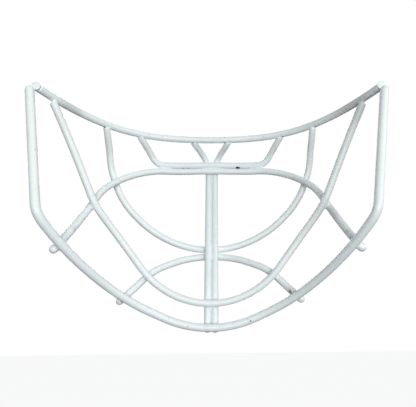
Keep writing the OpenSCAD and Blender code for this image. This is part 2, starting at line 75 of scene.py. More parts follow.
BAR_R, RIM_R = BAR_D / 2, RIM_D / 2
PITCH = BAR_D + WELD_GAP
FLUSH = (RIM_D - BAR_D) / 2
LAYER_1 = RIM_R + BAR_R + WELD_GAP
LAYER_2 = LAYER_1 + PITCH
DRAFT = 0.8          # distance between points of an outline
RING = 1.1           # distance between rings of a wire
HALVINGS = 24        # steps of a search by halves
REACH = 30           # length, past a foot, in which a bar has to meet the rim
STRAIGHT = 0.003     # a turn, in radians, too small to bend
SIDES = 28
CELL = 0.34   # cell of the weld meshes


# Face shape.
def ease(t):
    """0 up to t = 0 and 1 from t = 1, smooth between."""
    u = np.clip(t, 0.0, 1.0)
    return u * u * (3 - 2 * u)


def knot_slopes():
    """Slope of the middle profile at each of its knots."""
    z, y = PROFILE_Z, PROFILE_Y
    last = len(z) - 1
    pairs = [(max(0, i - 1), min(last, i + 1)) for i in range(last + 1)]
    return np.array([(y[b] - y[a]) / (z[b] - z[a]) for a, b in pairs])


SLOPES = knot_slopes()


def middle_y(z):
    """Depth of the face shape in the middle plane, a smooth curve through the knots."""
    i = np.clip(np.searchsorted(PROFILE_Z, z, side="right") - 1, 0, len(PROFILE_Z) - 2)
    h = PROFILE_Z[i + 1] - PROFILE_Z[i]
    t = (z - PROFILE_Z[i]) / h
    t2, t3 = t * t, t * t * t
    return ((2 * t3 - 3 * t2 + 1) * PROFILE_Y[i] + (t3 - 2 * t2 + t) * h * SLOPES[i]
            + (3 * t2 - 2 * t3) * PROFILE_Y[i + 1] + (t3 - t2) * h * SLOPES[i + 1])


def half_w(z):
    """Half the width between the side wires at a height."""
    return (TOP_W + (JAW_W - TOP_W) * (TOP_Z - z) / (TOP_Z - JAW_Z)) / 2


def shape_y(x, z):
    """Depth of the face shape: round in front, and falling to 0 at the side wires."""
    w, p = half_w(z), middle_y(z)
    return p - x * x / (2 * FRONT_R) - (p - w * w / (2 * FRONT_R)) * (x / w) ** 4


def outward(x, z):
    """Unit normal of the face shape."""
    e = 0.5
    dx = (shape_y(x + e, z) - shape_y(x - e, z)) / (2 * e)
    dz = (shape_y(x, z + e) - shape_y(x, z - e)) / (2 * e)
    n = np.stack([-dx, np.ones_like(dx), -dz], axis=-1)
    return n / np.linalg.norm(n, axis=-1, keepdims=True)


def lifted(points, height):
    """Points [x, z] of the front view on the face shape, moved outward by height."""
    p = np.atleast_2d(np.asarray(points, float))
    x, z = p[:, 0], p[:, 1]
    h = np.broadcast_to(np.asarray(height, float), x.shape)
    return np.column_stack([x, shape_y(x, z), z]) + outward(x, z) * h[:, None]


# Bent lines in the front view.
def unit(v):
    return v / np.linalg.norm(v)


def bend(a, p, b, r):
    """Points of the arc of radius r that rounds the corner p between a and b."""
    u, v = unit(p - a), unit(b - p)
    turn = math.acos(float(np.clip(u @ v, -1, 1)))
    if turn < STRAIGHT:
        return [p]
    s = p - u * r * math.tan(turn / 2)
    c = p + unit(v - u) * r / math.cos(turn / 2)
    n = max(4, math.ceil(turn * r / DRAFT))
    steps = [turn * i / n for i in range(n + 1)]
    return [c + (s - c) * math.cos(t) + u * r * math.sin(t) for t in steps]


def outline(vertices):
    """A bent line from vertices (x, z, bend radius)."""
    v = [(np.array(q[:2], float), q[2]) for q in vertices]
    points = [v[0][0]]
    for i in range(1, len(v) - 1):
        points += bend(v[i - 1][0], v[i][0], v[i + 1][0], v[i][1])
    points.append(v[-1][0])
    return split(np.array(points))


def split(p):
    """A line with points no further apart than DRAFT."""
    out = [p[:1]]
    for a, b in zip(p[:-1], p[1:]):
        n = max(1, math.ceil(np.linalg.norm(b - a) / DRAFT))
        out.append(a + (b - a) * (np.arange(1, n + 1) / n)[:, None])
    return np.vstack(out)


def both_sides(v):
    """Vertices of one half and the middle, followed by the mirrored half."""
    return list(v) + [(-x, z, r) for x, z, r in reversed(v[:-1])]


def apex(k, z, r, side):
    """Height at which the tangent from k to the circle of radius r about [0, z] meets the middle."""
    d = np.array([-k[0], z - k[1]])
    a = math.atan2(d[1], d[0]) + side * math.asin(r / np.linalg.norm(d))
    return k[1] - k[0] * math.tan(a)


def shared_radius(a, p, b, share):
    """Radius of the bend at p that takes up a share of the stretch from a."""
    u, v = unit(p - a), unit(b - p)
    return share * np.linalg.norm(p - a) / math.tan(math.acos(float(u @ v)) / 2)


def crossings(p, q):
    """Every point at which two bent lines cross."""
    a, u = p[:-1][:, None], (p[1:] - p[:-1])[:, None]
    c, v = q[:-1][None], (q[1:] - q[:-1])[None]
    k = u[..., 0] * v[..., 1] - u[..., 1] * v[..., 0]
    k = np.where(abs(k) < 1e-9, np.nan, k)
    w = c - a
    s = (w[..., 0] * v[..., 1] - w[..., 1] * v[..., 0]) / k
    t = (w[..., 0] * u[..., 1] - w[..., 1] * u[..., 0]) / k
    hit = (s >= 0) & (s < 1) & (t >= 0) & (t < 1)
    i, j = np.nonzero(hit)
    return p[i] + (p[i + 1] - p[i]) * s[i, j][:, None]


def meet(p, q):
    return crossings(p, q)[0]


def lengths(p):
    """Length along a line up to each of its points."""
    return np.concatenate([[0], np.cumsum(np.linalg.norm(np.diff(p, axis=0), axis=1))])


def even(p, step, cut_a=0.0, cut_b=0.0):
    """A line with evenly spaced points, and a length cut off each end."""
    s = lengths(p)
    n = max(2, math.ceil((s[-1] - cut_a - cut_b) / step))
    t = np.linspace(cut_a, s[-1] - cut_b, n + 1)
    return np.column_stack([np.interp(t, s, p[:, k]) for k in range(p.shape[1])])


def butt_cut(p):
    """Length cut off a bar that butts against the top bar."""
    way = unit(p[0] - p[3])
    x = p[0][0]
    axis = unit((lifted([x + 0.5, TOP_Z], FLUSH) - lifted([x - 0.5, TOP_Z], FLUSH))[0])
    tilt = math.asin(min(1.0, abs(float(way @ axis))))
    return (BAR_R + 2 * WELD_GAP + BAR_R * math.sin(tilt)) / math.cos(tilt)


# The wires' centre lines.
def rim_line():
    low = np.array([0.0, apex(CHEEK_BEND, RIM_BOTTOM_Z + RIM_BOTTOM_R, RIM_BOTTOM_R, 1)])
    jaw = np.array([half_w(JAW_Z), JAW_Z])
    return outline(both_sides([
        (half_w(TOP_Z), TOP_Z, 0),
        (*jaw, JAW_R),
        (*CHEEK_BEND, shared_radius(jaw, CHEEK_BEND, low, CHEEK_SHARE)),
        (*low, RIM_BOTTOM_R)]))


def top_path():
    end = TOP_W / 2 - CORNER_INSET
    x = end * np.sin(np.linspace(-math.pi / 2, math.pi / 2, 241))
    line = np.column_stack([x, np.full_like(x, TOP_Z)])
    middle = lifted(line, FLUSH * (1 - (x / end) ** 8))
    return np.vstack([[[-end, CORNER_FRONT, TOP_Z]], middle, [[end, CORNER_FRONT, TOP_Z]]])


def outer_line():
    low = apex(OUTER_BEND, OUTER_BOTTOM_Z + OUTER_BOTTOM_R, OUTER_BOTTOM_R, 1)
    return outline(both_sides([
        (TOP_W / 2 - OUTER_INSET, TOP_Z, 0), (*OUTER_BEND, OUTER_BEND_R), (0, low, OUTER_BOTTOM_R)]))


RIM = rim_line()
OUTER = outer_line()


def arch_line():
    foot, shoulder = ARCH_FOOT, np.array([ARCH_X, ARCH_Z - ARCH_FALL])
    way = unit(foot - shoulder)
    hit = meet(np.array([shoulder, foot + way * REACH]), RIM[RIM[:, 0] > 0])
    end = hit + way * END_PAST
    rise = CROWN_R * (1 / math.cos(math.atan(ARCH_FALL / ARCH_X)) - 1)
    return outline(both_sides([(*end, 0), (*shoulder, ARCH_R), (0, ARCH_Z + rise, CROWN_R)]))


ARCH = arch_line()


def beside(x, z):
    """Height at x of a bar that lies side by side with the arch bar, whose height there is z."""
    low, high = z, z + 2 * PITCH
    for _ in range(HALVINGS):
        mid = (low + high) / 2
        gap = np.linalg.norm(lifted([x, mid], LAYER_1) - lifted([x, z], LAYER_1))
        low, high = (mid, high) if gap < PITCH else (low, mid)
    return (low + high) / 2


def arch_at(x):
    """About the arch's height beside the brow bar's bend."""
    return ARCH_Z - ARCH_FALL * x / ARCH_X * CROWN_SAG


BROW_MID_Z = beside(0.0, ARCH_Z)


def brow_line():
    z = beside(BROW_X, arch_at(BROW_X))
    rise = CROWN_R * (1 / math.cos(math.atan((BROW_MID_Z - z) / BROW_X)) - 1)
    return outline(both_sides([
        (BROW_TOP_X, TOP_Z, 0), (BROW_X, z, BROW_BEND_R), (0, BROW_MID_Z + rise, CROWN_R)]))


def brow_layer(z):
    """Height of the brow bar's line over the face shape: beside the arch, then down to the top bar."""
    low = BROW_MID_Z + BAR_R / 2
    return FLUSH + (LAYER_1 - FLUSH) * (1 - ease((z - low) / (TOP_Z - low)))


def centre_layer(z):
    """Height of the centre wires: over the arch and the brow bar, and down to both ends."""
    low = BROW_MID_Z + BAR_R
    full = low - 2 * BAR_D
    up = FLUSH + (LAYER_2 - FLUSH) * (1 - ease((z - low) / (TOP_Z - low)))
    down = LAYER_1 + (LAYER_2 - LAYER_1) * ease((z - OUTER_BOTTOM_Z) / (full - OUTER_BOTTOM_Z))
    return np.where(z > low, up, down)


def centre_line(side):
    x = CENTRE_SHIFT + side * PITCH / 2
    return outline([
        (side * STRUT_TOP_X, TOP_Z, 0),
        (x, ARCH_Z + STRUT_RISE, STRUT_BEND_R),
        (x, RIM_BOTTOM_Z - END_PAST, 0)])


def inner_line():
    low = np.array([0.0, apex(INNER_BEND, INNER_BOTTOM_Z + INNER_BOTTOM_R, INNER_BOTTOM_R, 1)])
    r = shared_radius(INNER_TOP, INNER_BEND, low, INNER_SHARE)
    return outline(both_sides([(*INNER_TOP, 0), (*INNER_BEND, r), (*low, INNER_BOTTOM_R)]))


INNER = inner_line()
ARCH_INNER = meet(ARCH, INNER)


def inner_layer(p):
    """Height of the inner U: over the arch at the sides, and over the centre wires in the middle."""
    low = ARCH_INNER[1] + BAR_D
    over = centre_layer(INNER_BOTTOM_Z) + PITCH
    up = FLUSH + (LAYER_2 - FLUSH) * (1 - ease((p[:, 1] - low) / (TOP_Z - low)))
    start, length = (k * BAR_D for k in INNER_CLIMB)
    down = LAYER_2 + (over - LAYER_2) * ease((start - abs(p[:, 0])) / length)
    return np.where(p[:, 1] > low, up, down)


def chin_line():
    way = unit(CHIN_FOOT - CHIN_BEND)
    half = RIM[RIM[:, 0] > 0]
    ends = []
    for side in (1, -1):
        shift = np.array([side * CENTRE_SHIFT, 0.0])
        hit = meet(np.array([CHIN_BEND, CHIN_FOOT + way * REACH]) + shift, half)
        ends.append(hit + way * END_PAST - shift)
    z = apex(CHIN_BEND, CHIN_Z - CHIN_CROWN_R, CHIN_CROWN_R, -1)
    line = outline([
        (*ends[0], 0), (*CHIN_BEND, CHIN_BEND_R), (0, z, CHIN_CROWN_R),
        (-CHIN_BEND[0], CHIN_BEND[1], CHIN_BEND_R), (-ends[1][0], ends[1][1], 0)])
    return line + [CENTRE_SHIFT, 0]


def chin_layer(p):
    """Height of the chin arch: over the centre wires in the middle, and over the outer U at the sides."""
    over = centre_layer(CHIN_Z) + PITCH
    start, length = (k * BAR_D for k in CHIN_CLIMB)
    return LAYER_1 + (over - LAYER_1) * ease((start - abs(p[:, 0] - CENTRE_SHIFT)) / length)


def all_lines():
    """Each wire's line in the front view, its line in space and its radius."""
    brow, left, right, chin = brow_line(), centre_line(1), centre_line(-1), chin_line()
    return {
        "top": (None, top_path(), BAR_R),
        "rim": (RIM, lifted(RIM, 0), RIM_R),
        "outer": (OUTER, lifted(OUTER, FLUSH), BAR_R),
        "arch": (ARCH, lifted(ARCH, LAYER_1), BAR_R),
        "brow": (brow, lifted(brow, brow_layer(brow[:, 1])), BAR_R),
        "left": (left, lifted(left, centre_layer(left[:, 1])), BAR_R),
        "right": (right, lifted(right, centre_layer(right[:, 1])), BAR_R),
        "inner": (INNER, lifted(INNER, inner_layer(INNER)), BAR_R),
        "chin": (chin, lifted(chin, chin_layer(chin)), BAR_R),
    }


LINES = all_lines()
FLAT = {name: row[0] for name, row in LINES.items()}
PATH = {name: row[1] for name, row in LINES.items()}
RADIUS = {name: row[2] for name, row in LINES.items()}


# Meshes.
WAVES = 6                            # waves that make up an irregularity
SWELL, SWELL_SIZE = 0.006, 16.0      # a wire's unevenness as a share of its radius, and its wavelength


def wobble(p, size, seed):
    """Smooth irregularity from -1 to 1, of that wavelength in millimetres."""
    rng = np.random.default_rng(seed)
    total = np.zeros(len(p))
    for _ in range(WAVES):
        k = rng.normal(size=3)
        k *= 2 * math.pi / (size * rng.uniform(0.7, 1.5) * np.linalg.norm(k))
        total += np.sin(p @ k + rng.uniform(0, 2 * math.pi))
    return total / WAVES


def shown(name, data):
    """A new object in the scene."""
    obj = bpy.data.objects.new(name, data)
    bpy.context.scene.collection.objects.link(obj)
    return obj


def piece(name, points, faces, material, slot, *nodes):
    """A smooth object, from points in millimetres, in place of the nodes."""
    mesh = bpy.data.meshes.new(name)
    mesh.from_pydata((np.asarray(points) * MM).tolist(), [], faces)
    mesh.polygons.foreach_set("use_smooth", [True] * len(mesh.polygons))
    mesh.update()
    obj = shown(name, mesh)
    mesh.materials.append(material)
    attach(obj, "root")
    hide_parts(*nodes)
    return obj


# Profiles of a wire's end as (depth, width), in shares of its radius.
SAWN_END = [(0.0, 0.0), (0.0, 0.5), (0.0, 0.98), (0.03, 1.09),
            (0.12, 1.14), (0.28, 1.13), (0.55, 1.06), (0.9, 1.0)]
FLAT_END = [(0.0, 0.0), (0.0, 0.35), (0.0, 0.7), (0.015, 0.86), (0.06, 0.95), (0.14, 0.99), (0.24, 1.0)]
ROUND_END = [(0.0, 0.0), (0.015, 0.2), (0.06, 0.4), (0.14, 0.58), (0.26, 0.74),
             (0.42, 0.87), (0.6, 0.95), (0.8, 0.99), (1.0, 1.0)]


def turned(ways):
    """A frame for each ring, carried along the line without twist."""
    side = np.cross(ways[0], [0.0, 0.0, 1.0])
    if np.linalg.norm(side) < 0.1:
        side = np.cross(ways[0], [1.0, 0.0, 0.0])
    out = []
    for way in ways:
        side = unit(side - way * (side @ way))
        out.append((side, np.cross(way, side)))
    return out


def tube(path, radius, ends, seed):
    """Points and faces of a closed round wire, with a profile of (depth, width) at each end."""
    p = even(path, RING)
    ways = np.gradient(p, axis=0)
    ways /= np.linalg.norm(ways, axis=1, keepdims=True)
    stations = [(p[0] + ways[0] * d * radius, ways[0], w) for d, w in ends[0]]
    stations += [(q, way, 1.0) for q, way in zip(p[1:-1], ways[1:-1])
                 if min(np.linalg.norm(q - p[0]), np.linalg.norm(q - p[-1])) > radius * 1.1]
    stations += [(p[-1] - ways[-1] * d * radius, ways[-1], w) for d, w in reversed(ends[1])]
    places = np.array([s[0] for s in stations])
    frames = turned([s[1] for s in stations])
    swell = 1 + SWELL * wobble(places, SWELL_SIZE, seed)
    angles = np.arange(SIDES) * 2 * math.pi / SIDES
    points, caps = [], []
    for k, ((place, way, width), (a, b)) in enumerate(zip(stations, frames)):
        if width == 0:
            caps.append(len(points))
            points.append(place)
            continue
        for t in angles:
            points.append(place + (a * math.cos(t) + b * math.sin(t)) * radius * width * swell[k])
    faces = []
    inner = len(stations) - 2
    for i in range(inner - 1):
        for k in range(SIDES):
            a, b = 1 + i * SIDES + k, 1 + i * SIDES + (k + 1) % SIDES
            faces.append((a, b, b + SIDES, a + SIDES))
    last = 1 + (inner - 1) * SIDES
    for k in range(SIDES):
        faces.append((caps[0], 1 + (k + 1) % SIDES, 1 + k))
        faces.append((caps[1], last + k, last + (k + 1) % SIDES))
    return np.array(points), faces


def distance(points, path, radius):
    """Distance from points to the surface of a wire whose line is path."""
    a, ab = path[:-1], path[1:] - path[:-1]
    best = np.full(len(points), 1e9)
    for q, d in zip(a, ab):
        v = points - q
        t = np.clip(v @ d / (d @ d), 0, 1)
        best = np.minimum(best, np.linalg.norm(v - t[:, None] * d, axis=1))
    return best - radius


def blended(a, b, k):
    """Smooth union of two distances, with a fillet of size k."""
    h = np.clip((k - abs(a - b)) / k, 0, None)
    return np.minimum(a, b) - h * h * k / 4


def trimmed(line):
    """A wire's line with its ends drawn back, so that a round end reaches just as far as the wire."""
    path, r = PATH[line], RADIUS[line]
    if line in ("arch", "chin"):
        return even(path, DRAFT, r, r)
    if line == "top":
        return even(sawn_top(), DRAFT, r, r)
    if line == "rim":
        cut = butt_cut(path) + r
        return even(path, DRAFT, cut, cut)
    cut = top_cut(line) + r - SUNK
    return even(path, DRAFT, cut, r if line in ("left", "right") else cut)


def top_cut(line):
    """Length left off a bar at the top bar: its end is cut to fit under the bar, or laps onto it."""
    return LAPPED if line == "outer" else COPED


def sawn_top():
    """The top bar's line, with its last bit turned straight to the wearer's face at each end."""
    p = even(PATH["top"], DRAFT, *TOP_CUT)
    turn = np.array([0.0, TOP_TURN, 0.0])
    return np.vstack([[p[0] - turn], p, [p[-1] - turn]])


def local(path, centres, reach):
    """The stretch of a line near any of the centres."""
    near = np.min([np.linalg.norm(path - c, axis=1) for c in centres], axis=0) < reach
    i = np.nonzero(near)[0]
    return None if len(i) < 4 else even(path[i[0]:i[-1] + 1], 2 * DRAFT)


UNEVEN, UNEVEN_SIZE = 0.25, 5.0      # how a fillet's size varies, as a share, and over what length
RIPPLE, RIPPLE_SIZE = 0.07, 2.6      # height and length of the ripples on a bead
PROUD, TOE_DIP = 0.05, 0.42          # how far a bead stands over its wires, and sinks into them at its toe
TOE_FROM, TOE_OVER = 0.35, 0.6       # where a bead begins to sink and how soon, in shares of its reach
CALM_FROM, CALM_OVER = 0.2, 0.5      # the same for its ripples, which die away
BESIDE = 5                           # how far past a bead's reach its wires still count
DROP_FILLET = 0.6                    # fillet of a drop of weld metal, as a share of the bead's


def weld_field(centres, wires, size, fillet, balls, seed):
    """Field of a weld that blends wires near its centres, and sinks into them further out."""
    runs = [(local(path, centres, size + BESIDE), r) for path, r in wires]
    runs = [run for run in runs if run[0] is not None]

    def field(p):
        values = [distance(p, path, r) for path, r in runs]
        k = fillet * (1 + UNEVEN * wobble(p, UNEVEN_SIZE, seed))
        total = values[0]
        for v in values[1:]:
            total = blended(total, v, k)
        for place, r in balls:
            total = blended(total, np.linalg.norm(p - place, axis=1) - r, DROP_FILLET * k)
        away = np.min([np.linalg.norm(p - c, axis=1) for c in centres], axis=0) / size
        dip = TOE_DIP * ease((away - TOE_FROM) / TOE_OVER) - PROUD
        ripple = RIPPLE * wobble(p, RIPPLE_SIZE, seed + 1)
        total = total + dip - ripple * (1 - ease((away - CALM_FROM) / CALM_OVER))
        return np.maximum(total, (away - 1) * size)
    return field


def box_of(centres, size):
    """Low and high corner of a box round a weld."""
    c = np.array(centres)
    return c.min(0) - size - 2 * CELL, c.max(0) + size + 2 * CELL


TINY, NOT_ZERO = 1e-6, 1e-12         # stand-ins for 0, in a field and under a fraction
PROBE, LEAST_SLOPE, LONGEST_MOVE = 0.05, 0.2, 0.3 * CELL


def surface(field, low, high):
    """Points and faces of the surface on which a field is zero."""
    axes = [np.arange(low[k], high[k] + CELL, CELL) for k in range(3)]
    grid = np.stack(np.meshgrid(*axes, indexing="ij"), axis=-1)
    f = field(grid.reshape(-1, 3)).reshape(grid.shape[:3])
    f = np.where(f == 0, TINY, f)
    n = np.array(f.shape) - 1
    corner = [(i, j, k) for i in (0, 1) for j in (0, 1) for k in (0, 1)]
    value = [f[i:n[0] + i, j:n[1] + j, k:n[2] + k] for i, j, k in corner]
    total, count = np.zeros((*n, 3)), np.zeros(n)
    for a in range(8):
        for b in range(a + 1, 8):
            step = np.subtract(corner[b], corner[a])
            if abs(step).sum() != 1:
                continue
            crossed = (value[a] < 0) != (value[b] < 0)
            t = np.where(crossed, value[a] / (value[a] - value[b] + NOT_ZERO), 0)
            for axis in range(3):
                total[..., axis] += np.where(crossed, corner[a][axis] + step[axis] * t, 0)
            count += crossed
    used = count > 0
    index = np.full(n, -1)
    index[used] = np.arange(used.sum())
    points = (np.argwhere(used) + total[used] / count[used][:, None]) * CELL + low
    faces = []
    inside = f < 0
    for axis in range(3):
        u, v = (axis + 1) % 3, (axis + 2) % 3
        s = np.moveaxis(inside, (axis, u, v), (0, 1, 2))
        ids = np.moveaxis(index, (axis, u, v), (0, 1, 2))
        a, b = s[:-1, 1:-1, 1:-1], s[1:, 1:-1, 1:-1]
        i, j, k = np.nonzero(a != b)
        quad = np.stack([ids[i, j, k], ids[i, j + 1, k], ids[i, j + 1, k + 1], ids[i, j, k + 1]], axis=1)
        quad[~a[i, j, k]] = quad[~a[i, j, k]][:, ::-1]
        faces.append(quad)
    return settled(points, field), np.vstack(faces).tolist()


def settled(points, field):
    """Points moved onto the surface of a field."""
    probes = np.eye(3) * PROBE
    for _ in range(2):
        value = field(points)
        slope = np.column_stack([field(points + d) - field(points - d) for d in probes]) / (2 * PROBE)
        size = (slope ** 2).sum(1)
        move = slope * (value / np.maximum(size, LEAST_SLOPE))[:, None]
        points = points - np.clip(move, -LONGEST_MOVE, LONGEST_MOVE)
    return points


# Welds.
CENTRE_WIRES = ("left", "right")
HOVER = 6.0                                            # height from which the wires of a crossing are sought
CORNER_WELD = (TOP_W / 2 - 0.5, 2.5, TOP_Z - 3.2)      # centre of the left corner's weld
DROP_X, DROP_Z, DROP_R = TOP_W / 2 + 0.8, TOP_Z - 3.0, 2.5   # a drop of weld metal beside each corner
DROP_Y = ((1, 2.4), (-1, 3.8))                         # its depth on the left and on the right, as worn
CORNER_DROPS = [(np.array([s * DROP_X, y, DROP_Z]), DROP_R) for s, y in DROP_Y]

# Under the top bar: weld piece, bar, reach from the weld's centre, fillet.
TOP_WELDS = [("outer_u_top_welds", "outer", 5.6, 2.2),
             ("inner_u_top_welds", "inner", 5.2, 1.1),
             ("brow_top_welds", "brow", 5.2, 1.1)]
# Single crossings: weld piece, wire nearer the face, wire over it.
CROSS_WELDS = [("arch_outer_u_welds", "outer", "arch"),
               ("arch_inner_u_welds", "arch", "inner"),
               ("arch_rim_welds", "rim", "arch"),
               ("chin_outer_u_welds", "outer", "chin"),
               ("chin_rim_welds", "rim", "chin")]
CROSS_REACH, CROSS_FILLET = 6.6, 2.5


def foot(path, q):
    """Nearest point of a line to q."""
    i = int(np.linalg.norm(path - q, axis=1).argmin())
    i = max(1, min(len(path) - 2, i))
    u = unit(path[i + 1] - path[i - 1])
    return path[i] + u * ((q - path[i]) @ u)


def crossing_centre(a, b, flat):
    """Middle of the gap between two wires that cross at a point of the front view."""
    q = lifted([flat], HOVER)[0]
    pa = foot(PATH[a], q)
    pb = foot(PATH[b], pa)
    pa = foot(PATH[a], pb)
    way = unit(pb - pa)
    return pa + way * (RADIUS[a] + WELD_GAP / 2)


def centre_crossings(*others, over=False):
    """Centres of the welds of the two centre wires with others, which lie under them or over them."""
    centres = []
    for other in others:
        for wire in CENTRE_WIRES:
            pair = (wire, other) if over else (other, wire)
            centres.append(crossing_centre(*pair, meet(FLAT[wire], FLAT[other])))
    return centres


def weld_piece(centres, wires, size, fillet, seed, balls=(), joined=False):
    """One piece of welds: each centre a surface of its own, or all in one surface."""
    groups = [list(centres)] if joined else [[c] for c in centres]
    points, faces, start = [], [], 0
    for k, group in enumerate(groups):
        picked = [(trimmed(w), RADIUS[w]) for w in wires]
        field = weld_field(group, picked, size, fillet, balls, seed + 10 * k)
        p, f = surface(field, *box_of(group, size))
        points.append(p)
        faces += [[i + start for i in face] for face in f]
        start += len(p)
    return np.vstack(points), faces


def butt_centre(wire, end):
    """Where a bar's end meets the top bar's underside."""
    path = PATH[wire] if end == 0 else PATH[wire][::-1]
    way = unit(path[0] - path[3])
    return path[0] - way * (BAR_R + 2 * WELD_GAP)


def seam_point(x):
    """Middle of the seam between the arch bar and the brow bar."""
    a = foot(PATH["arch"], lifted([[x, arch_at(x)]], LAYER_1)[0])
    return (a + foot(PATH["brow"], a)) / 2


def weld_list():
    """Each weld piece: its name, centres, wires, reach, fillet, and whether the centres join."""
    corners = [np.array([s * CORNER_WELD[0], *CORNER_WELD[1:]]) for s in (1, -1)]
    seam = [seam_point(s * (BROW_X - BAR_D)) for s in (1, -1)]
    rows = [("corner_welds", corners, ("top", "rim"), 7.6, 2.6, False)]
    for name, wire, reach, fillet in TOP_WELDS:
        ends = [butt_centre(wire, 0), butt_centre(wire, -1)]
        rows.append((name, ends, ("top", wire), reach, fillet, False))
    struts = [butt_centre(wire, 0) for wire in CENTRE_WIRES]
    brow = centre_crossings("brow", "arch")
    nose = centre_crossings("inner", "chin", over=True)
    rows += [
        ("strut_top_welds", struts, ("top", *CENTRE_WIRES), 5.2, 1.1, False),
        ("brow_seam_welds", seam, ("arch", "brow"), 7.5, 2.6, False),
        ("centre_brow_weld", brow, ("arch", "brow", *CENTRE_WIRES), 7.0, 2.2, True),
        ("centre_nose_weld", nose, (*CENTRE_WIRES, "inner", "chin"), 7.0, 2.6, True),
        ("centre_outer_u_weld", centre_crossings("outer"), ("outer", *CENTRE_WIRES), 6.5, 2.2, True),
        ("centre_rim_weld", centre_crossings("rim"), ("rim", *CENTRE_WIRES), 6.5, 2.2, True),
    ]
    for name, a, b in CROSS_WELDS:
        centres = [crossing_centre(a, b, q) for q in crossings(FLAT[b], FLAT[a])]
        rows.append((name, centres, (a, b), CROSS_REACH, CROSS_FILLET, False))
    return rows


def cut_path(name, cut_a, cut_b):
    return even(PATH[name], DRAFT, cut_a, cut_b)


def rim_halves():
    """The rim's two wires, which meet in a butt joint under the chin."""
    p = PATH["rim"]
    s = lengths(p)
    low = np.nonzero((p[:-1, 0] >= RIM_JOINT_X) & (p[1:, 0] < RIM_JOINT_X))[0][0]
    share = (p[low, 0] - RIM_JOINT_X) / (p[low, 0] - p[low + 1, 0])
    cut = s[low] + share * (s[low + 1] - s[low])
    start = BAR_R + 3 * WELD_GAP - CORNER_INSET * unit(p[4] - p[0])[0]
    return (even(p, DRAFT, start, s[-1] - cut + WELD_GAP / 2), even(p, DRAFT, cut + WELD_GAP / 2, start))


def build_wires(materials):
    rims = rim_halves()
    rows = [
        ("top_bar", sawn_top(), BAR_R, (SAWN_END, SAWN_END)),
        ("rim_left", rims[0], RIM_R, (ROUND_END, FLAT_END)),
        ("rim_right", rims[1], RIM_R, (FLAT_END, ROUND_END)),
        ("cheek_arch_bar", PATH["arch"], BAR_R, (ROUND_END, ROUND_END)),
        ("chin_arch_bar", PATH["chin"], BAR_R, (ROUND_END, ROUND_END)),
    ]
    for name, line in (("outer_u_bar", "outer"), ("inner_u_bar", "inner"), ("brow_bar", "brow")):
        cut = top_cut(line)
        rows.append((name, cut_path(line, cut, cut), BAR_R, (FLAT_END, FLAT_END)))
    for line in CENTRE_WIRES:
        rows.append(("centre_bar_" + line, cut_path(line, top_cut(line), 0), BAR_R, (FLAT_END, ROUND_END)))
    for seed, (name, path, radius, ends) in enumerate(rows):
        points, faces = tube(path, radius, ends, seed)
        piece(name + "_wire", points, faces, materials["coated_wire"], "coated_wire", name)


def build_welds(materials):
    for seed, (name, centres, wires, reach, fillet, joined) in enumerate(weld_list()):
        balls = CORNER_DROPS if name == "corner_welds" else ()
        points, faces = weld_piece(centres, wires, reach, fillet, 100 * (seed + 1), balls, joined)
        piece(name + "_bead", points, faces, materials["coated_weld"], "coated_weld", name)


# Materials.
def node(tree, kind, **values):
    """A shader node, with its settings, and with its inputs given as in_NAME or in_NUMBER."""
    n = tree.nodes.new("ShaderNode" + kind)
    for key, value in values.items():
        if key.startswith("in_"):
            n.inputs[int(key[3:]) if key[3:].isdigit() else key[3:].replace("_", " ")].default_value = value
        else:
            setattr(n, key, value)
    return n


def linked(tree, source, target):
    tree.links.new(source, target)


def math_node(tree, operation, a, b):
    """Result of an operation on two sockets or numbers."""
    n = node(tree, "Math", operation=operation)
    for k, value in enumerate((a, b)):
        if isinstance(value, (int, float)):
            n.inputs[k].default_value = value
        else:
            linked(tree, value, n.inputs[k])
    return n.outputs[0]


def summed(tree, start, masks, shares):
    """A value plus a share of each mask."""
    total = start
    for name, share in shares.items():
        more = math_node(tree, "MULTIPLY_ADD", masks[name], share)
        linked(tree, total, more.node.inputs[2])
        total = more
    return total


def noise(tree, where, size, detail=2.0, seed=0.0):
    """Noise from 0 to 1 with marks of that size in millimetres, as (level, colour)."""
    n = node(tree, "TexNoise", noise_dimensions="4D", in_Scale=1 / (size * MM), in_Detail=detail, in_W=seed)
    linked(tree, where, n.inputs["Vector"])
    return n.outputs[0], n.outputs[1]


def ramp(tree, value, low, high):
    """0 where a value is at low and 1 where it is at high, smooth between."""
    n = node(tree, "MapRange", interpolation_type="SMOOTHSTEP", in_From_Min=low, in_From_Max=high)
    linked(tree, value, n.inputs["Value"])
    return n.outputs[0]


def tinted(tree, share, below, above):
    """Colour that goes from one to the other with a share."""
    n = node(tree, "Mix", data_type="RGBA")
    linked(tree, share, n.inputs[0])
    for k, value in ((6, below), (7, above)):
        if isinstance(value, tuple):
            n.inputs[k].default_value = (*value, 1)
        else:
            linked(tree, value, n.inputs[k])
    return n.outputs[2]


def wandering(tree, where, size, far):
    """Coordinates pushed about by noise, so that a round mark gets an uneven edge."""
    push = node(tree, "VectorMath", operation="MULTIPLY_ADD")
    linked(tree, noise(tree, where, size, 3.0, 7.0)[1], push.inputs[0])
    push.inputs[1].default_value = (2 * far * MM,) * 3
    shifted = node(tree, "VectorMath", operation="SUBTRACT", in_1=(far * MM,) * 3)
    linked(tree, where, push.inputs[2])
    linked(tree, push.outputs[0], shifted.inputs[0])
    return shifted.outputs[0]


def marks(tree, where, rows, soft):
    """Mask of the marks in rows of (place, radius), in millimetres."""
    total = None
    for place, radius in rows:
        far = node(tree, "VectorMath", operation="DISTANCE", in_1=tuple(float(c) * MM for c in place))
        linked(tree, where, far.inputs[0])
        one = ramp(tree, far.outputs["Value"], radius * MM, radius * (1 - soft) * MM)
        total = one if total is None else math_node(tree, "MAXIMUM", total, one)
    return total


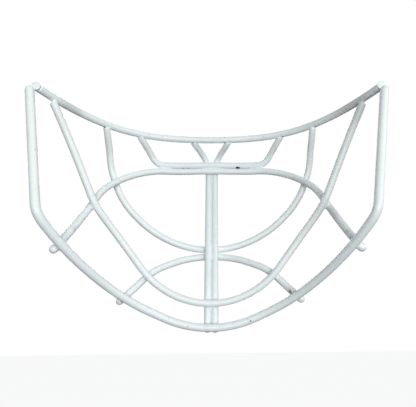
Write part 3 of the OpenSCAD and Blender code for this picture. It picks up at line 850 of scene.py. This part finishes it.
def specks(tree, where, size, share, seed):
    """Mask of small specks, one in some of the cells of that size."""
    n = node(tree, "TexVoronoi", voronoi_dimensions="4D", in_Scale=1 / (size * MM), in_W=seed)
    linked(tree, where, n.inputs["Vector"])
    parts = node(tree, "SeparateColor")
    linked(tree, n.outputs["Color"], parts.inputs[0])
    picked = math_node(tree, "LESS_THAN", parts.outputs[0], share)
    near = ramp(tree, n.outputs["Distance"], 0.24, 0.1)
    return math_node(tree, "MULTIPLY", near, picked)


EYE = np.array([5.0, -234.0, -110.0])     # inside the mask, where the worn side is seen from


def on_wire(line, x, z, up):
    """Point on the worn side of a wire near (x, z) of the front view, off its middle by a share."""
    path = PATH[line]
    i = int(np.hypot(path[:, 0] - x, path[:, 2] - z).argmin())
    i = max(2, min(len(path) - 3, i))
    toward = EYE - path[i]
    along = unit(path[i + 2] - path[i - 2])
    toward = unit(toward - along * (toward @ along))
    side = np.cross(along, toward)
    side = side if side[2] > 0 else -side
    return path[i] + RADIUS[line] * (toward * math.sqrt(1 - up * up) + side * up)


def spots(line, rows):
    """Marks on a wire as (place, radius), from rows of (x, z, share off its middle, radius)."""
    return [(on_wire(line, x, z, up), radius) for x, z, up, radius in rows]


def top_spots(up, rows):
    """Marks on the top bar, all as far off its middle, from rows of (x, radius)."""
    return spots("top", [(x, TOP_Z, up, radius) for x, radius in rows])


MARKS = {
    # Painted shade: near-black spots on the brow bar's lower side, in its seam with the arch bar; the same
    # spots are also dented.
    "gaps_with_painted_shade": spots("brow", [(24.1, 29.1, -0.7, 1.4), (25.4, 29.1, -0.74, 1.1),
                           (-20.6, 29.2, -0.8, 0.6), (-25.1, 29.0, -0.8, 0.5)]),
    "rust": spots("chin", [(61.9, -85.8, -0.5, 1.7), (62.8, -86.8, -0.75, 1.2)]),
    "stains": spots("arch", [(-95.4, -45.3, -0.5, 3.4), (96.0, -50.0, -0.3, 3.0)])
    + spots("chin", [(60.5, -84.5, -0.2, 3.2)]),
    "scuffs": spots("rim", [(-31.7, -105.5, 0.35, 0.9), (-17.0, -109.8, -0.2, 0.8), (-4.9, -111.4, 0.05, 0.7),
                            (6.9, -111.2, 0.2, 0.8), (16.8, -109.9, 0.3, 0.8)])
    + top_spots(0.25, [(-52.0, 1.0), (-42.5, 0.8)]) + top_spots(0.3, [(-54.0, 0.8)])
    + top_spots(0.1, [(47.0, 0.8)]) + top_spots(0.05, [(45.0, 0.6)])
    + top_spots(0.8, [(x, 0.7) for x in (-25.0, -21.5, -17.0, -12.5, -9.5, -2.0, 3.5, 8.0, 12.0)]),
    "chips": spots("rim", [(29.9, -106.2, -0.25, 0.75), (29.0, -106.6, 0.35, 0.3)]),
    # Painted shade: near-black spots on the top bar's underside, where the side wires and the bars under it
    # meet it.
    "painted_crevice_shade": top_spots(-0.85, [(-110.9, 1.5), (-107.4, 1.0), (-85.4, 1.2), (-59.8, 1.1), (-16.2, 1.0),
                                  (12.4, 1.1), (19.4, 0.8), (61.6, 1.0), (86.6, 1.1), (111.0, 1.2)]),
    # Painted shade: broad darker patches on both ends of the top bar and on the arch bar's right leg, on the
    # sides that face away from the light.
    "painted_broad_shade": top_spots(0.0, [(108.0, 22.0)]) + top_spots(-0.5, [(-104.0, 15.0)])
    + spots("arch", [(88.0, -32.0, -0.6, 13.0)]),
    "seam": spots("rim", [(RIM_JOINT_X - 1.2, RIM_BOTTOM_Z, 0.3 * k, 0.32) for k in range(-2, 4)]),
}
# How much of a mark's radius is its soft edge.
SOFT = {"gaps_with_painted_shade": 0.25, "rust": 0.6, "stains": 0.9, "scuffs": 0.5, "chips": 0.3, "seam": 0.5,
        "painted_crevice_shade": 0.45, "painted_broad_shade": 0.75}
SHARP_EDGED = ("seam", "painted_broad_shade")          # marks whose edges don't wander

# Share and colour of each tint, in the order in which they cover each other.
TINTS = {
    "dust": (0.28, (0.6, 0.61, 0.6)),
    # painted shade on the sides that face away from the light
    "painted_broad_shade": (0.4, (0.4, 0.39, 0.37)),
    "stains": (0.42, (0.47, 0.41, 0.32)),
    "worn": (0.6, (0.3, 0.32, 0.33)),
    "seam": (0.45, (0.16, 0.17, 0.18)),
    "pits": (0.55, (0.2, 0.19, 0.18)),
    "rust": (0.85, (0.2, 0.115, 0.05)),
    "chips": (0.85, (0.1, 0.105, 0.11)),
    # painted shade where the bars meet the top bar's underside
    "painted_crevice_shade": (0.7, (0.07, 0.072, 0.075)),
}
# near-black colour painted as shade in the seam gaps
PAINTED_GAP_SHADE_COLOUR = (0.006, 0.006, 0.006)
AGED = 0.965                             # the coat's darker fields, as a share of its colour
YELLOWED, YELLOW_SHARE = (0.95, 0.94, 0.91), 0.5
ROUGHER = {"dust": 0.14, "stains": 0.25, "scuffs": 0.2, "rust": 0.4, "chips": 0.15}
CLOUDY_ROUGH = 0.22                      # how far roughness goes up and down with the clouds
DEPTHS = {"runs": 0.09, "lumps": 0.05, "pits": -0.08, "scuffs": -0.05, "chips": -0.12, "gaps_with_painted_shade": -0.6}


def coat_masks(tree, where):
    """Every mask of the coat by name: noises, specks and the marks in their places."""
    loose = wandering(tree, where, 1.1, 0.55)
    masks = {
        "broad": noise(tree, where, 34.0, 2.0, 1.0)[0],
        "cloudy": noise(tree, where, 7.0, 4.0, 2.0)[0],
        "peel": noise(tree, where, 0.9, 2.0, 3.0)[0],
        "runs": noise(tree, where, 5.0, 1.0, 4.0)[0],
        "dust": ramp(tree, noise(tree, where, 2.2, 5.0, 5.0)[0], 0.56, 0.78),
        "pits": specks(tree, loose, 2.6, 0.05, 1.0),
        "lumps": specks(tree, loose, 1.7, 0.07, 2.0),
    }
    for name, rows in MARKS.items():
        masks[name] = marks(tree, where if name in SHARP_EDGED else loose, rows, SOFT[name])
    patchy = ramp(tree, noise(tree, where, 0.7, 3.0, 8.0)[0], 0.38, 0.6)
    masks["worn"] = math_node(tree, "MULTIPLY", masks["scuffs"], patchy)
    return masks


def coat_tone(tree, masks, colour):
    """The coat's colour: clean, darker and yellowed fields, and over them each mark's tint, painted shade
    among them.
    """
    tone = tinted(tree, ramp(tree, masks["broad"], 0.3, 0.7), colour, tuple(c * AGED for c in colour))
    clouds = math_node(tree, "MULTIPLY", ramp(tree, masks["cloudy"], 0.5, 0.8), YELLOW_SHARE)
    tone = tinted(tree, clouds, tone, tuple(c * k for c, k in zip(colour, YELLOWED)))
    for name, (share, shade) in TINTS.items():
        tone = tinted(tree, math_node(tree, "MULTIPLY", masks[name], share), tone, shade)
    # painted shade in the seam gaps, laid over every tint
    return tinted(tree, masks["gaps_with_painted_shade"], tone, PAINTED_GAP_SHADE_COLOUR)


def coat_material(name, colour, dull, grain):
    """Worn white powder coat: uneven tone, fine orange peel, stains, scuffs and chips, with painted shade in
    seam gaps, under the top bar and on sides that face away from the light.
    """
    m = bpy.data.materials.new(name)
    m.use_nodes = True
    tree = m.node_tree
    shader = tree.nodes["Principled BSDF"]
    shader.inputs["Specular IOR Level"].default_value = 0.5
    masks = coat_masks(tree, node(tree, "TexCoord").outputs["Object"])
    linked(tree, coat_tone(tree, masks, colour), shader.inputs["Base Color"])

    rough = math_node(tree, "MULTIPLY_ADD", masks["cloudy"], CLOUDY_ROUGH)
    rough.node.inputs[2].default_value = dull - CLOUDY_ROUGH / 2
    linked(tree, summed(tree, rough, masks, ROUGHER), shader.inputs["Roughness"])

    height = summed(tree, math_node(tree, "MULTIPLY", masks["peel"], grain), masks, DEPTHS)
    bump = node(tree, "Bump", in_Strength=1.0, in_Distance=MM)
    linked(tree, height, bump.inputs["Height"])
    linked(tree, bump.outputs[0], shader.inputs["Normal"])
    return m


# Stage.
YAW, PITCH_UP, ROLL = (math.radians(a) for a in (-1.409, 16.899, -0.618))
CAMERA_PLACE = (4.936, -234.425, -109.848)
SENSOR, LENS, SHIFT = 36.0, 34.56, (-0.0433, 0.0012)
FLOOR_SIZE, FLOOR_Z = 6.0, -0.5            # in metres
FLOOR_COLOUR, FLOOR_GLOW = (0.18, 0.184, 0.188, 1), 0.85
SKY, SKY_STRENGTH, WHITE = (0.96, 0.98, 1.0, 1), 0.23, (1, 1, 1, 1)


def add_camera():
    """The photograph's camera. It was cropped off centre, hence the small shift."""
    across = Vector((math.cos(YAW), math.sin(YAW), 0))
    level = Vector((-math.sin(YAW), math.cos(YAW), 0))
    ahead = level * math.cos(PITCH_UP) + Vector((0, 0, math.sin(PITCH_UP)))
    up = Vector((0, 0, math.cos(PITCH_UP))) - level * math.sin(PITCH_UP)
    right = across * math.cos(ROLL) + up * math.sin(ROLL)
    top = up * math.cos(ROLL) - across * math.sin(ROLL)
    data = bpy.data.cameras.new("camera")
    data.sensor_width, data.lens = SENSOR, LENS
    data.shift_x, data.shift_y = SHIFT
    data.clip_start, data.clip_end = 0.01, 50
    camera = shown("camera", data)
    turn = Matrix((right, top, -ahead)).transposed().to_4x4()
    camera.matrix_world = Matrix.Translation(Vector(CAMERA_PLACE) * MM) @ turn
    bpy.context.scene.camera = camera


def add_sun(name, toward, strength, spread):
    data = bpy.data.lights.new(name, "SUN")
    data.energy = strength
    data.angle = math.radians(spread)
    lamp = shown(name, data)
    lamp.rotation_mode = "QUATERNION"
    lamp.rotation_quaternion = Vector(toward).to_track_quat("Z", "Y")


def add_softbox(name, place, aim, width, height, power):
    data = bpy.data.lights.new(name, "AREA")
    data.shape = "RECTANGLE"
    data.size, data.size_y = width, height
    data.energy = power
    lamp = shown(name, data)
    lamp.location = place
    lamp.rotation_mode = "QUATERNION"
    lamp.rotation_quaternion = (Vector(place) - Vector(aim)).to_track_quat("Z", "Y")
    lamp.visible_camera = False


def add_world():
    """White where it is seen, mirrored or looked through, and a dim sky as light."""
    world = bpy.data.worlds.new("studio")
    bpy.context.scene.world = world
    world.use_nodes = True
    tree = world.node_tree
    tree.nodes.clear()
    ray = node(tree, "LightPath").outputs
    seen = math_node(tree, "MAXIMUM", ray["Is Camera Ray"], ray["Is Glossy Ray"])
    seen = math_node(tree, "MAXIMUM", seen, ray["Is Transmission Ray"])
    sky = node(tree, "Background", in_Color=SKY, in_Strength=SKY_STRENGTH)
    white = node(tree, "Background", in_Color=WHITE, in_Strength=1.0)
    mix = node(tree, "MixShader")
    out = node(tree, "OutputWorld")
    linked(tree, seen, mix.inputs[0])
    linked(tree, sky.outputs[0], mix.inputs[1])
    linked(tree, white.outputs[0], mix.inputs[2])
    linked(tree, mix.outputs[0], out.inputs[0])


def floor_material():
    """Pale paper that takes the shadow, and looks almost white to the camera."""
    m = bpy.data.materials.new("floor_paper")
    m.use_nodes = True
    tree = m.node_tree
    tree.nodes.clear()
    ray = node(tree, "LightPath").outputs
    paper = node(tree, "BsdfDiffuse", in_Color=FLOOR_COLOUR)
    glow = node(tree, "Emission", in_Color=WHITE)
    total = node(tree, "AddShader")
    out = node(tree, "OutputMaterial")
    linked(tree, math_node(tree, "MULTIPLY", ray["Is Camera Ray"], FLOOR_GLOW), glow.inputs["Strength"])
    linked(tree, paper.outputs[0], total.inputs[0])
    linked(tree, glow.outputs[0], total.inputs[1])
    linked(tree, total.outputs[0], out.inputs["Surface"])
    return m


def add_floor():
    mesh = bpy.data.meshes.new("floor")
    corners = [(x * FLOOR_SIZE, y * FLOOR_SIZE, FLOOR_Z) for x, y in ((-1, -1), (1, -1), (1, 1), (-1, 1))]
    mesh.from_pydata(corners, [], [(0, 1, 2, 3)])
    mesh.materials.append(floor_material())
    floor = shown("floor", mesh)


def add_stage():
    add_camera()
    add_world()
    add_floor()
    add_softbox("key", place=(0.14, -0.8, -0.17), aim=(0, 0.05, -0.03), width=0.7, height=0.4, power=6.0)
    add_sun("side", toward=(0.75, -0.45, 0.5), strength=0.7, spread=50)
    add_sun("back", toward=(-0.3, 0.85, 0.5), strength=1.0, spread=40)


add_stage()
MATERIALS = {
    "coated_wire": coat_material("coated_wire", colour=(0.84, 0.905, 0.92), dull=0.42, grain=0.03),
    "coated_weld": coat_material("coated_weld", colour=(0.83, 0.895, 0.91), dull=0.46, grain=0.05),
}
build_wires(MATERIALS)
build_welds(MATERIALS)
bpy.context.scene.view_settings.view_transform = "Standard"
